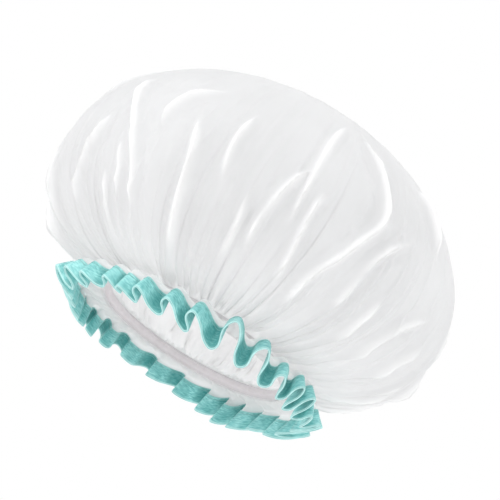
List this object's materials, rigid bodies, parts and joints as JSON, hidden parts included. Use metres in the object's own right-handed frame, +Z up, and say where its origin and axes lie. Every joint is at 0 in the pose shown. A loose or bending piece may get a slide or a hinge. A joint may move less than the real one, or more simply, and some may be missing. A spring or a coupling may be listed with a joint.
{
  "type": "shower cap",
  "caption": "Gathered shower cap: a puffed crown of frosted white film drawn in by a cased elastic, with a ruffled frill bound in teal tape; worn over the hair to keep it dry.",
  "frame": {"origin": "centre of the opening, at the middle of the elastic", "axes": "+Z up out of the opening towards the apex of the crown, -Y the front that the picture shows, +X to its right"},
  "size_m": [0.2439, 0.2442, 0.1639],
  "materials": {
    "film": "frosted white film with a satin sheen, slightly see-through",
    "casing_film": "the same film, puckered by its seams",
    "elastic": "braided white elastic",
    "tape": "woven teal tape with a satin sheen",
    "white_thread": "white sewing thread",
    "teal_thread": "teal sewing thread"
  },
  "bodies": {
    "root": {"crown_film": "film", "elastic_casing": "casing_film", "elastic_band": "elastic", "elastic_bar_tack": "white_thread", "edge_binding": "tape", "casing_upper_needle_thread": "white_thread", "casing_upper_bobbin_thread": "white_thread", "casing_lower_needle_thread": "white_thread", "casing_lower_bobbin_thread": "white_thread", "binding_needle_thread": "teal_thread", "binding_bobbin_thread": "teal_thread"}
  },
  "joints": []
}
